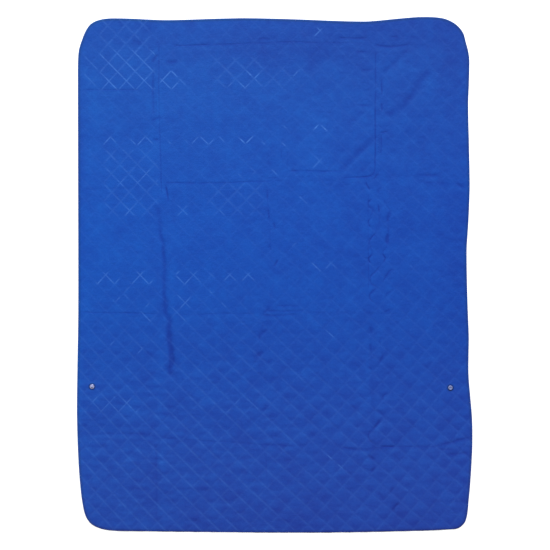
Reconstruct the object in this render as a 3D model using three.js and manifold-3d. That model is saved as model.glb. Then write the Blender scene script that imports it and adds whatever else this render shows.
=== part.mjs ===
import * as THREE from 'three';
import { mergeVertices } from 'three/addons/utils/BufferGeometryUtils.js';
import Module from 'manifold-3d';

// A quilted picnic blanket, laid out flat, with a press stud at its left side and the socket at its right.
// Millimetres, +Z up. X runs across the blanket and Y along it. The origin is on the ground, at its middle.

const wasm = await Module();
wasm.setup();

// Edge of the panel: the cloth is turned in, so it rises from a thin rim over a soft roll to the quilting.
const edge = {
  rimHeight: 1.5,
  rollWidth: 28,
  rollHeight: 6.2,
  samplesPerKnot: 2,
};

// Quilting: the cloth is thinnest along the welded lines and stands up in a low pillow between them.
const quilt = {
  weldHeight: 1.9,
  pressedCrown: 2.6,
  fullCrown: 3.6,
  pressedAbove: 60,
  fullBelow: -520,
  overhang: 90,
  apexDepth: 3000,
};

// The two families of welded lines: where their normal points, how far apart they are, and their start.
// They swing a little over the sheet: each amount is in spacings, for that product of x and y over warp.size.
const weldLines = {
  falling: { normalDeg: 46.3, pitch: 43.3, start: -0.39,
    swing: { xx: -0.35, xy: 0, yy: -0.3, xxx: 0.3, xxy: 0.25, xyy: -0.15 } },
  rising: { normalDeg: -43.3, pitch: 43.6, start: -0.49,
    swing: { xx: 0.1, xy: 0.15, yy: -0.25, xxx: 0.35, xxy: 0, xyy: -0.4 } },
};
const warp = { size: { x: 650, y: 850 }, most: 1.15, rounds: 6 };

// Outline, clockwise: points of the rounded corners, and of the sides where the laid cloth swings in or out.
const outline = {
  topLeft: [[-651, 709], [-648, 744], [-639, 774], [-628, 802], [-612, 827], [-589, 841], [-560, 847.5]],
  top: [[-530, 849], [-468, 847.5], [-362, 843], [-230, 846.5], [-97, 849.5],
    [89, 845], [300, 838.5], [381, 845], [473, 853]],
  topRight: [[532, 852.5], [562, 848], [587, 838], [609, 822], [626, 799], [634, 770], [642, 740]],
  right: [[646, 706], [642, 560], [647, 300], [642, 164], [637, 84], [640, -100],
    [644, -208], [643, -330], [654, -465], [656, -540], [654, -606], [648, -700]],
  bottomRight: [[643, -753], [639.5, -789], [630.5, -821], [609, -840], [580, -844.5]],
  bottom: [[434, -850], [142, -855], [-203, -853.5], [-468, -850]],
  bottomLeft: [[-530, -849], [-559, -845.5], [-586, -838], [-609, -824.5], [-625, -801], [-634, -769]],
  left: [[-643, -703], [-650, -606], [-654.5, -446], [-650.5, -155], [-650.5, 210], [-651.5, 640]],
};

// Creases left by packing: each one's height above the ground, its width, and the x, y that it runs through.
// One that lies lower than the crowns around it is a trough, and a higher one is a ridge.
const foldEnd = { fade: 70, least: 0.15 };
const foldStep = 46;
const foldSlack = 0.3;
const ridgeFoot = 0.9;
const folds = [
  { name: 'top', height: 1.3, width: 18,
    line: [[-346, 762], [-97, 774], [19, 776], [218, 775], [305, 773]] },
  { name: 'top, end', height: 1.5, width: 16, line: [[330, 768], [364, 761], [420, 762]] },
  { name: 'left, upper', height: 1.3, width: 16, line: [[-396, 690], [-394, 519], [-378, 296]] },
  { name: 'left, ridge', height: 4.4, width: 24,
    line: [[-356, 90], [-348, -60], [-328, -200], [-320, -300]] },
  { name: 'left, hollow', height: 1.2, width: 22,
    line: [[-404, 238], [-377, 116], [-366, -81], [-349, -160], [-346, -250], [-340, -350]] },
  { name: 'middle, upper', height: 1.5, width: 14, line: [[-23, 288], [-14, 174], [-10, 81], [4, 30]] },
  { name: 'middle, lower', height: 1.6, width: 18,
    line: [[-36, -150], [-50, -198], [-48, -261], [-60, -290]] },
  { name: 'middle, end', height: 1.6, width: 16, line: [[-4, -330], [-18, -390], [-46, -458]] },
  { name: 'right, upper', height: 1.2, width: 15,
    line: [[333, 740], [333, 547], [332, 354], [318, 330], [219, 323]] },
  { name: 'right, inner', height: 1.4, width: 16, line: [[312, 262], [309, 100], [312, -35], [326, -100]] },
  { name: 'right, ridge', height: 4.2, width: 22, line: [[330, 268], [331, 150], [334, 20]] },
  { name: 'right, outer', height: 1.4, width: 16, line: [[350, 275], [366, 230], [374, 116], [366, 30]] },
  { name: 'right, lower', height: 1.5, width: 16,
    line: [[321, -175], [324, -258], [350, -280], [360, -403]] },
  { name: 'right, curl', height: 1.3, width: 20,
    line: [[356, -455], [334, -496], [310, -530], [334, -566]] },
  { name: 'second, left', height: 1.3, width: 15, line: [[-369, 306], [-213, 310], [36, 317]] },
  { name: 'second, right', height: 1.4, width: 14, line: [[42, 347], [130, 348], [230, 346]] },
  { name: 'second, end', height: 1.6, width: 20, line: [[465, 330], [540, 326], [630, 292]] },
  { name: 'third, left', height: 1.6, width: 14, line: [[-645, -121], [-379, -126], [-62, -128]] },
  { name: 'third, middle', height: 1.3, width: 18, line: [[-48, -132], [20, -120], [94, -117]] },
  { name: 'fourth, left', height: 1.6, width: 15,
    line: [[-640, -529], [-388, -540], [-150, -557], [112, -567]] },
  { name: 'fourth, right', height: 1.6, width: 16,
    line: [[218, -568], [308, -577], [407, -567], [514, -567]] },
  { name: 'fourth, end', height: 1.4, width: 18, line: [[534, -566], [618, -544], [672, -537]] },
  { name: 'slant, outer', height: 1.4, width: 34, line: [[364, 524], [452, 587], [514, 687]] },
  { name: 'slant, upper', height: 1.6, width: 24, line: [[344, 672], [413, 733], [446, 761]] },
  { name: 'slant, lower', height: 1.4, width: 28, line: [[210, 348], [297, 431], [332, 466]] },
];

// Press fasteners: radii and heights of the standard 15 mm size. The cloth is pressed flat under each one.
const snap = {
  radius: 7.5,
  lip: 0.5,
  clearance: 0.3,
  segments: 24,
  seat: { radius: 8.6, height: 2.3, dishRadius: 17, dishHeight: 7 },
  room: { bottom: -1, top: 12 },
  cap: { radius: 6.5, height: 0.7 },
  post: { radius: 2.2, top: 3.5 },
  plate: { thickness: 0.9, dip: 0.2 },
  nub: { foot: 4.1, neck: 2.75, bulge: 3.1, bulgeHeight: 5.1, flat: 2.2, top: 6.3 },
  socket: { hole: 3.3, top: 4.9, slope: 1 },
};
const snapPlaces = { stud: { x: -605, y: -370.5 }, socket: { x: 582, y: -374.5 } };

const clothBlue = new THREE.MeshStandardMaterial({ color: 0x234faf, roughness: 0.75, metalness: 0 });
const silver = { color: 0xb9bcc4, roughness: 0.32, metalness: 1 };

// Closed solid from a flat list of coordinates and a flat list of the triangles' corner numbers.
function solidFrom(coordinates, triangles) {
  const vertProperties = new Float32Array(coordinates);
  const triVerts = new Uint32Array(triangles);
  return new wasm.Manifold(new wasm.Mesh({ numProp: 3, vertProperties, triVerts }));
}

function meshFrom(solid, name, material) {
  const { vertProperties, triVerts } = solid.getMesh();
  const geometry = new THREE.BufferGeometry();
  geometry.setAttribute('position', new THREE.BufferAttribute(vertProperties, 3));
  geometry.setIndex(new THREE.BufferAttribute(triVerts, 1));
  geometry.computeVertexNormals();
  const mesh = new THREE.Mesh(geometry, material);
  mesh.name = name;
  return mesh;
}

// One smooth closed curve through the outline's points, moved so that its box is centred on the origin.
function outlineRing() {
  const knots = Object.values(outline).flat().map(([x, y]) => new THREE.Vector3(x, y, 0));
  const curve = new THREE.CatmullRomCurve3(knots, true, 'centripetal');
  const ring = curve.getPoints(knots.length * edge.samplesPerKnot);
  ring.pop();
  const middle = new THREE.Box3().setFromPoints(ring).getCenter(new THREE.Vector3());
  return ring.map((point) => point.sub(middle));
}

// The ring moved inwards, square to its own run at each point.
function insetRing(ring, inset, height) {
  return ring.map((point, index) => {
    const before = ring[(index + ring.length - 1) % ring.length];
    const after = ring[(index + 1) % ring.length];
    const run = new THREE.Vector3().subVectors(after, before).normalize();
    return new THREE.Vector3(point.x + run.y * inset, point.y - run.x * inset, height);
  });
}

// The room that the panel may fill: rings of the outline, from the ground over the rim and the roll.
function edgeSolid(ring) {
  const rings = [
    insetRing(ring, 0, 0),
    insetRing(ring, 0, edge.rimHeight),
    insetRing(ring, edge.rollWidth, edge.rollHeight),
  ];
  const count = ring.length;
  const coordinates = rings.flat().flatMap((point) => point.toArray());
  const triangles = [];
  for (let level = 0; level + 1 < rings.length; level += 1) {
    for (let index = 0; index < count; index += 1) {
      const a = level * count + index;
      const b = level * count + ((index + 1) % count);
      triangles.push(a, a + count, b, b, a + count, b + count);
    }
  }
  const top = (rings.length - 1) * count;
  const flat = ring.map((point) => new THREE.Vector2(point.x, point.y));
  for (const [a, b, c] of THREE.ShapeUtils.triangulateShape(flat, [])) {
    triangles.push(a, c, b, top + a, top + b, top + c);
  }
  return solidFrom(coordinates, triangles);
}

// How far a family of lines has swung at a place, in spacings.
function swingAt({ swing }, x, y) {
  const a = THREE.MathUtils.clamp(x / warp.size.x, -warp.most, warp.most);
  const b = THREE.MathUtils.clamp(y / warp.size.y, -warp.most, warp.most);
  const bow = swing.xx * a * a + swing.xy * a * b + swing.yy * b * b;
  return bow + swing.xxx * a ** 3 + swing.xxy * a * a * b + swing.xyy * a * b * b;
}

// Where two welded lines cross: both lines' equations are solved again with the swing found there.
function crossing(fallingNumber, risingNumber) {
  const { falling, rising } = weldLines;
  const [first, second] = [falling, rising].map(({ normalDeg }) => {
    const angle = THREE.MathUtils.degToRad(normalDeg);
    return { x: Math.cos(angle), y: Math.sin(angle) };
  });
  const size = first.x * second.y - first.y * second.x;
  const place = new THREE.Vector2(0, 0);
  for (let round = 0; round < warp.rounds; round += 1) {
    const along = (fallingNumber + falling.start - swingAt(falling, place.x, place.y)) * falling.pitch;
    const across = (risingNumber + rising.start - swingAt(rising, place.x, place.y)) * rising.pitch;
    place.set((along * second.y - across * first.y) / size, (across * first.x - along * second.x) / size);
  }
  return place;
}

function crownHeight(y) {
  const fullness = THREE.MathUtils.smoothstep(-y, -quilt.pressedAbove, -quilt.fullBelow);
  return THREE.MathUtils.lerp(quilt.pressedCrown, quilt.fullCrown, fullness);
}

// The quilted face: a low pyramid on each diamond. Its border runs down to one point far below the ground.
function quiltSolid(halfWidth, halfLength) {
  const reach = Math.ceil(Math.hypot(halfWidth, halfLength) / weldLines.falling.pitch) + 2;
  const coordinates = [];
  const triangles = [];
  const knownCorners = new Map();
  const sidesOfCells = new Map();
  const addPoint = (point, height) => {
    coordinates.push(point.x, point.y, height);
    return coordinates.length / 3 - 1;
  };
  const cornerAt = (falling, rising) => {
    const key = `${falling},${rising}`;
    if (!knownCorners.has(key)) {
      knownCorners.set(key, addPoint(crossing(falling, rising), quilt.weldHeight));
    }
    return knownCorners.get(key);
  };
  for (let falling = -reach; falling < reach; falling += 1) {
    for (let rising = -reach; rising < reach; rising += 1) {
      const middle = crossing(falling + 0.5, rising + 0.5);
      const pastSide = Math.abs(middle.x) > halfWidth + quilt.overhang;
      const pastEnd = Math.abs(middle.y) > halfLength + quilt.overhang;
      if (pastSide || pastEnd) continue;
      const crown = addPoint(middle, crownHeight(middle.y));
      const around = [
        cornerAt(falling, rising), cornerAt(falling, rising + 1),
        cornerAt(falling + 1, rising + 1), cornerAt(falling + 1, rising),
      ];
      around.forEach((a, index) => {
        const b = around[(index + 1) % around.length];
        triangles.push(a, b, crown);
        sidesOfCells.set(`${a},${b}`, [a, b]);
      });
    }
  }
  const apex = addPoint(new THREE.Vector2(0, 0), -quilt.apexDepth);
  for (const [a, b] of sidesOfCells.values()) {
    const shared = sidesOfCells.has(`${b},${a}`);
    if (!shared) triangles.push(b, a, apex);
  }
  return solidFrom(coordinates, triangles);
}

// A crease: a wedge along its line, fading at its ends. A trough opens upwards, a ridge stands on its base.
const isTrough = ({ height }) => height < quilt.pressedCrown;

function foldSolid(fold) {
  const knots = fold.line.map(([x, y]) => new THREE.Vector3(x, y, 0));
  const curve = new THREE.CatmullRomCurve3(knots, false, 'centripetal');
  const length = curve.getLength();
  const steps = Math.ceil(length / foldStep);
  const coordinates = [];
  for (let step = 0; step <= steps; step += 1) {
    const place = curve.getPointAt(step / steps);
    const run = curve.getTangentAt(step / steps);
    const fromEnd = Math.min(step, steps - step) * (length / steps);
    const strength = Math.min(1, foldEnd.least + fromEnd / foldEnd.fade);
    const crown = crownHeight(place.y);
    const start = isTrough(fold) ? crown : quilt.weldHeight;
    const base = isTrough(fold) ? crown + foldSlack : ridgeFoot;
    const keel = THREE.MathUtils.lerp(start, fold.height, strength);
    const half = fold.width / 2;
    coordinates.push(place.x, place.y, keel);
    coordinates.push(place.x - run.y * half, place.y + run.x * half, base);
    coordinates.push(place.x + run.y * half, place.y - run.x * half, base);
  }
  const triangles = [];
  const quad = (a, b, c, d) => triangles.push(a, b, c, a, c, d);
  for (let step = 0; step < steps; step += 1) {
    const here = step * 3;
    const next = here + 3;
    quad(here, next, next + 1, here + 1);
    quad(here + 1, next + 1, next + 2, here + 2);
    quad(here + 2, next + 2, next, here);
  }
  const last = steps * 3;
  triangles.push(0, 1, 2, last, last + 2, last + 1);
  if (isTrough(fold)) triangles.reverse();
  return solidFrom(coordinates, triangles);
}

// A round body from its radius and height pairs, turned about an upright axis.
function turnedGeometry(profile) {
  const points = profile.map(([radius, height]) => new THREE.Vector2(radius, height));
  return new THREE.LatheGeometry(points, snap.segments).rotateX(Math.PI / 2);
}

function turnedSolid(profile, { x, y }) {
  const geometry = turnedGeometry(profile).translate(x, y, 0);
  geometry.deleteAttribute('normal');
  geometry.deleteAttribute('uv');
  const merged = mergeVertices(geometry);
  const numbers = merged.index.array;
  const triangles = [];
  for (let first = 0; first < numbers.length; first += 3) {
    const [a, b, c] = numbers.subarray(first, first + 3);
    const hasArea = a !== b && b !== c && c !== a;
    if (hasArea) triangles.push(a, b, c);
  }
  return solidFrom(merged.attributes.position.array, triangles);
}

// The space that a fastener takes in the panel: recess below, hole for the post, pressed seat above.
function snapRoom(place) {
  const { seat, room, cap, post, clearance } = snap;
  const recess = cap.radius + clearance;
  const ceiling = cap.height + clearance;
  const hole = post.radius + clearance;
  return turnedSolid([
    [0, room.bottom], [recess, room.bottom], [recess, ceiling], [hole, ceiling], [hole, seat.height],
    [seat.radius, seat.height], [seat.dishRadius, seat.dishHeight],
    [seat.dishRadius, room.top], [0, room.top],
  ], place);
}

function quiltedPanel() {
  const ring = outlineRing();
  const size = new THREE.Box3().setFromPoints(ring).getSize(new THREE.Vector3());
  let panel = quiltSolid(size.x / 2, size.y / 2).intersect(edgeSolid(ring));
  for (const trough of folds.filter((fold) => isTrough(fold))) {
    panel = panel.subtract(foldSolid(trough));
  }
  for (const ridge of folds.filter((fold) => !isTrough(fold))) {
    panel = panel.add(foldSolid(ridge));
  }
  for (const place of Object.values(snapPlaces)) {
    panel = panel.subtract(snapRoom(place));
  }
  return meshFrom(panel, 'quilted_panel', clothBlue);
}

// Heights and radii that the stud and the socket share.
const snapFloor = snap.seat.height + snap.clearance;
const snapPlate = snapFloor + snap.plate.thickness;
const snapBore = snap.post.radius + snap.clearance;

// The stud: a plate with a rounded lip and a low nub, hollow below for the post.
function studProfile() {
  const { radius, lip, nub, plate } = snap;
  const ceiling = snap.post.top + snap.clearance;
  return [
    [0, ceiling], [snapBore, ceiling], [snapBore, snapFloor],
    [radius - lip, snapFloor], [radius, snapFloor + lip], [radius - lip, snapPlate],
    [nub.foot, snapPlate - plate.dip], [nub.neck, snapPlate], [nub.bulge, nub.bulgeHeight],
    [nub.flat, nub.top], [0, nub.top],
  ];
}

// The socket: a ring with a rounded lip and a stepped hole that takes the nub.
function socketProfile() {
  const { radius, lip, socket } = snap;
  const start = [snapBore, snapFloor];
  return [
    start, [radius - lip, snapFloor], [radius, snapFloor + lip],
    [radius - lip, socket.top - lip], [radius - lip - socket.slope, socket.top],
    [socket.hole + lip, socket.top], [socket.hole, socket.top - lip],
    [socket.hole, snapPlate], [snapBore, snapPlate], start,
  ];
}

// The rear cap: a flat disc level with the ground side of the cloth, and the post that goes up through it.
function capProfile() {
  const { cap, post } = snap;
  return [
    [0, 0], [cap.radius - cap.height / 2, 0], [cap.radius, cap.height / 2], [cap.radius, cap.height],
    [post.radius, cap.height], [post.radius, post.top], [0, post.top],
  ];
}

function snapPiece(name, profile, place) {
  const piece = new THREE.Mesh(turnedGeometry(profile), new THREE.MeshStandardMaterial(silver));
  piece.name = name;
  piece.position.set(place.x, place.y, 0);
  return piece;
}

const blanket = new THREE.Group();
blanket.add(
  quiltedPanel(),
  snapPiece('snap_stud', studProfile(), snapPlaces.stud),
  snapPiece('snap_stud_cap', capProfile(), snapPlaces.stud),
  snapPiece('snap_socket', socketProfile(), snapPlaces.socket),
  snapPiece('snap_socket_cap', capProfile(), snapPlaces.socket),
);

export default blanket;
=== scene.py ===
import bpy
import numpy as np
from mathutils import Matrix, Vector
from mathutils.geometry import delaunay_2d_cdt


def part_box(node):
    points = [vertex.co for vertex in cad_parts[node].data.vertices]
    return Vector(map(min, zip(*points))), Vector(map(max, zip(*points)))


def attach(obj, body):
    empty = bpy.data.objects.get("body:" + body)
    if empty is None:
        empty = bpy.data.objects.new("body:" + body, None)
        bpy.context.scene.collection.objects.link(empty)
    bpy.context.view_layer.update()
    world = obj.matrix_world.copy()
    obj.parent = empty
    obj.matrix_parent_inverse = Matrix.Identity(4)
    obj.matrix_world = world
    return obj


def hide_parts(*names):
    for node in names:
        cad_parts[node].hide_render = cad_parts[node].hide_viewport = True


# A quilted picnic blanket with a press stud and a socket, laid out flat and seen from straight above.
# Tables and sums are in millimetres on the cloth: x across, y along, z up. Meshes are in metres.
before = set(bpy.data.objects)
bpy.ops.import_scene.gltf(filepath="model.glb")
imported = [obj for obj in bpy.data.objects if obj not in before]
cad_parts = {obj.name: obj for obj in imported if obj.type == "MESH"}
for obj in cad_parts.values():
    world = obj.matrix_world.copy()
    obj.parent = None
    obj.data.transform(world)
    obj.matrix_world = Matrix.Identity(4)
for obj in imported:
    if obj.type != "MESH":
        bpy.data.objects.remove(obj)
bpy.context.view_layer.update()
mm = 0.001


# Curves, steps and noise

def smoothStep(part):
    # 3t^2 - 2t^3, held at 0 and 1
    part = np.clip(part, 0.0, 1.0)
    return part * part * (3.0 - 2.0 * part)


def smoothCurve(knots, step, closed=False):
    # Cubic stretches between the knots; the slope at a knot is the run between its neighbours.
    knots = np.asarray(knots, dtype=float)
    if closed:
        longer = np.vstack([knots[-1:], knots, knots[:2]])
    else:
        longer = np.vstack([2 * knots[0] - knots[1], knots, 2 * knots[-1] - knots[-2]])
    gap = np.linalg.norm(np.diff(longer, axis=0), axis=1)
    slope = (longer[2:] - longer[:-2]) / (gap[1:] + gap[:-1])[:, None]
    core, span = longer[1:-1], gap[1:-1]
    start = np.concatenate([[0.0], np.cumsum(span)])
    count = max(2, int(round(start[-1] / step)))
    at = np.linspace(0.0, start[-1], count + 1)
    if closed:
        at = at[:-1]
    k = np.clip(np.searchsorted(start, at, side="right") - 1, 0, len(span) - 1)
    long = span[k][:, None]
    t = (at - start[k])[:, None] / long
    fromStart = (2 * t**3 - 3 * t**2 + 1) * core[k] + (t**3 - 2 * t**2 + t) * long * slope[k]
    toEnd = (3 * t**2 - 2 * t**3) * core[k + 1] + (t**3 - t**2) * long * slope[k + 1]
    return fromStart + toEnd


def fullTurn(count):
    # count angles, evenly round the circle
    return np.linspace(0, 2 * np.pi, count, endpoint=False)


noiseBoxes = 64


def softNoise(x, y, sizeX, sizeY, seed):
    # Random values at the corners of sizeX by sizeY boxes, blended across each box by smooth steps.
    values = np.random.default_rng(seed).uniform(-1.0, 1.0, (noiseBoxes, noiseBoxes))
    boxX, boxY = x / sizeX, y / sizeY
    left, low = np.floor(boxX).astype(int), np.floor(boxY).astype(int)
    partX, partY = smoothStep(boxX - left), smoothStep(boxY - low)
    left, low = left % noiseBoxes, low % noiseBoxes
    right, high = (left + 1) % noiseBoxes, (low + 1) % noiseBoxes
    lower = values[left, low] * (1 - partX) + values[right, low] * partX
    upper = values[left, high] * (1 - partX) + values[right, high] * partX
    return lower * (1 - partY) + upper * partY


# Meshes

def addObject(name, data):
    made = bpy.data.objects.new(name, data)
    bpy.context.scene.collection.objects.link(made)
    return made


def storeValue(mesh, name, value):
    stored = mesh.attributes.new(name, "FLOAT", "POINT")
    stored.data.foreach_set("value", value.astype(np.float32))


def meshFrom(name, points, faces, uv=None, values=None):
    # points in millimetres; faces is a list of arrays, each with its own number of corners
    mesh = bpy.data.meshes.new(name)
    corners = np.concatenate([block.ravel() for block in faces]).astype(np.int32)
    sizes = np.concatenate([np.full(len(block), block.shape[1]) for block in faces])
    starts = np.concatenate([[0], np.cumsum(sizes)[:-1]]).astype(np.int32)
    mesh.vertices.add(len(points))
    mesh.vertices.foreach_set("co", (np.asarray(points) * mm).astype(np.float32).ravel())
    mesh.loops.add(len(corners))
    mesh.loops.foreach_set("vertex_index", corners)
    mesh.polygons.add(len(starts))
    mesh.polygons.foreach_set("loop_start", starts)
    mesh.polygons.foreach_set("use_smooth", np.ones(len(starts), dtype=bool))
    if uv is not None:
        layer = mesh.uv_layers.new(name="quilt")
        layer.data.foreach_set("uv", uv[corners].astype(np.float32).ravel())
    for key, value in (values or {}).items():
        storeValue(mesh, key, value)
    mesh.update(calc_edges=True)
    mesh.validate()
    return addObject(name, mesh)


def ringBand(inner, outer):
    # quads between two rings of point numbers, facing up where the second ring is the wider one
    return np.column_stack([inner, outer, np.roll(outer, -1), np.roll(inner, -1)])


fillInside, fillNear = 1, 1e-6  # keep what the chains enclose, and how near two points count as one


def fillBetween(points, edges):
    # triangles between closed chains of edges, all turned to face up
    found = delaunay_2d_cdt([Vector(p) for p in points], edges.tolist(), [], fillInside, fillNear)
    if len(found[0]) != len(points):
        raise RuntimeError("the chains of edges cross each other")
    triangles = np.array(found[2])
    a, b, c = (points[triangles[:, k]] for k in range(3))
    area = (b[:, 0] - a[:, 0]) * (c[:, 1] - a[:, 1]) - (b[:, 1] - a[:, 1]) * (c[:, 0] - a[:, 0])
    triangles[area < 0] = triangles[area < 0][:, ::-1]
    return triangles


def chain(numbers):
    # edges from each number of a ring to the next
    return np.column_stack([numbers, np.roll(numbers, -1)])


def ringNumbers(start, *shape):
    # point numbers from start on, in rows of rings
    return start + np.arange(np.prod(shape)).reshape(shape)


def boxMiddle(node):
    low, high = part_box(node)
    return np.array([low[0] + high[0], low[1] + high[1]]) / 2 / mm


snapPlaces = [boxMiddle("snap_stud"), boxMiddle("snap_socket")]


def fromSnaps(x, y):
    # distance to the nearer fastener
    return np.min([np.hypot(x - placeX, y - placeY) for placeX, placeY in snapPlaces], axis=0)


# Quilting: two families of welded lines, numbered along their normals, with a low pillow in each diamond.
quilt = {
    # each family of lines: where its normal points, its spacing, the number taken off, how steeply a pillow
    # rises from its welds (under 1 is steep), and its swing for each product of x and y as shares of warpSize
    "falling": {
        "degrees": 46.3, "pitch": 43.3, "start": -0.39, "steep": 0.82,
        "swing": {"xx": -0.35, "xy": 0.0, "yy": -0.3, "xxx": 0.3, "xxy": 0.36, "xyy": -0.15},
    },
    "rising": {
        "degrees": -43.3, "pitch": 43.6, "start": -0.49, "steep": 0.95,
        "swing": {"xx": 0.1, "xy": 0.15, "yy": -0.25, "xxx": 0.35, "xxy": -0.11, "xyy": -0.4},
    },
    "warpSize": (650.0, 850.0), "warpMost": 1.15, "warpRounds": 8,
    "weldHeight": 1.9, "pressedCrown": 2.0, "fullCrown": 2.7,
    "pressedAbove": 60.0, "fullBelow": -520.0, "flatSide": 0.45, "flatFrom": -250.0, "flatTo": 330.0,
    "crownSpread": (0.8, 0.6), "crownShift": (0.9, 0.85),  # at the left and at the right
    "crownSeed": 11,
    "underLift": 0.5,  # how far the welds stand off the ground
}
families = [quilt["falling"], quilt["rising"]]


def unitVector(degrees):
    return np.cos(np.radians(degrees)), np.sin(np.radians(degrees))


def swingAt(swing, x, y):
    # xx a^2 + xy a b + yy b^2 + xxx a^3 + xxy a^2 b + xyy a b^2, with a and b the shares of warpSize
    a = np.clip(x / quilt["warpSize"][0], -quilt["warpMost"], quilt["warpMost"])
    b = np.clip(y / quilt["warpSize"][1], -quilt["warpMost"], quilt["warpMost"])
    bow = swing["xx"] * a * a + swing["xy"] * a * b + swing["yy"] * b * b
    return bow + swing["xxx"] * a**3 + swing["xxy"] * a * a * b + swing["xyy"] * a * b * b


def weldNumbers(x, y):
    # each family's number is the distance along its normal over its pitch, less its start, plus the swing
    numbers = []
    for family in families:
        normalX, normalY = unitVector(family["degrees"])
        number = (x * normalX + y * normalY) / family["pitch"] - family["start"]
        numbers.append(number + swingAt(family["swing"], x, y))
    return numbers


def weldPlace(numbers):
    # where two numbered lines cross: both lines' equations solved again with the swing found there
    (fx, fy), (rx, ry) = (unitVector(family["degrees"]) for family in families)
    size = fx * ry - fy * rx
    x, y = np.zeros_like(numbers[0]), np.zeros_like(numbers[1])
    for _ in range(quilt["warpRounds"]):
        falling, rising = (
            (number + family["start"] - swingAt(family["swing"], x, y)) * family["pitch"]
            for number, family in zip(numbers, families)
        )
        x, y = (falling * ry - rising * fy) / size, (rising * fx - falling * rx) / size
    return x, y


def downAndRight(x, y):
    # two shares of the way: from the pressed upper part down to the full lower one, and from left to right
    down = smoothStep((quilt["pressedAbove"] - y) / (quilt["pressedAbove"] - quilt["fullBelow"]))
    right = smoothStep((x - quilt["flatFrom"]) / (quilt["flatTo"] - quilt["flatFrom"]))
    return down, right


def between(ends, part):
    return ends[0] + (ends[1] - ends[0]) * part


crownDraws = np.random.default_rng(quilt["crownSeed"]).random((3, noiseBoxes, noiseBoxes))


def pillowHeight(x, y):
    # weld + rise * sin(pi f)^a * sin(pi r)^b; each diamond has its own rise, and a crown off its middle
    falling, rising = weldNumbers(x, y)
    cellF, cellR = np.floor(falling).astype(int), np.floor(rising).astype(int)
    crownDraw, shiftF, shiftR = crownDraws[:, cellF % noiseBoxes, cellR % noiseBoxes]
    down, right = downAndRight(x, y)
    shift = between(quilt["crownShift"], right)
    partF = np.clip(falling - cellF, 0, 1) ** (1 + shift * (shiftF - 0.5))
    partR = np.clip(rising - cellR, 0, 1) ** (1 + shift * (shiftR - 0.5))
    fullness = down * between((quilt["flatSide"], 1.0), right)
    crown = between((quilt["pressedCrown"], quilt["fullCrown"]), fullness)
    rise = (crown - quilt["weldHeight"]) * (1 + between(quilt["crownSpread"], right) * (2 * crownDraw - 1))
    pillow = np.sin(np.pi * partF) ** quilt["falling"]["steep"]
    pillow *= np.sin(np.pi * partR) ** quilt["rising"]["steep"]
    return quilt["weldHeight"] + rise * pillow


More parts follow.
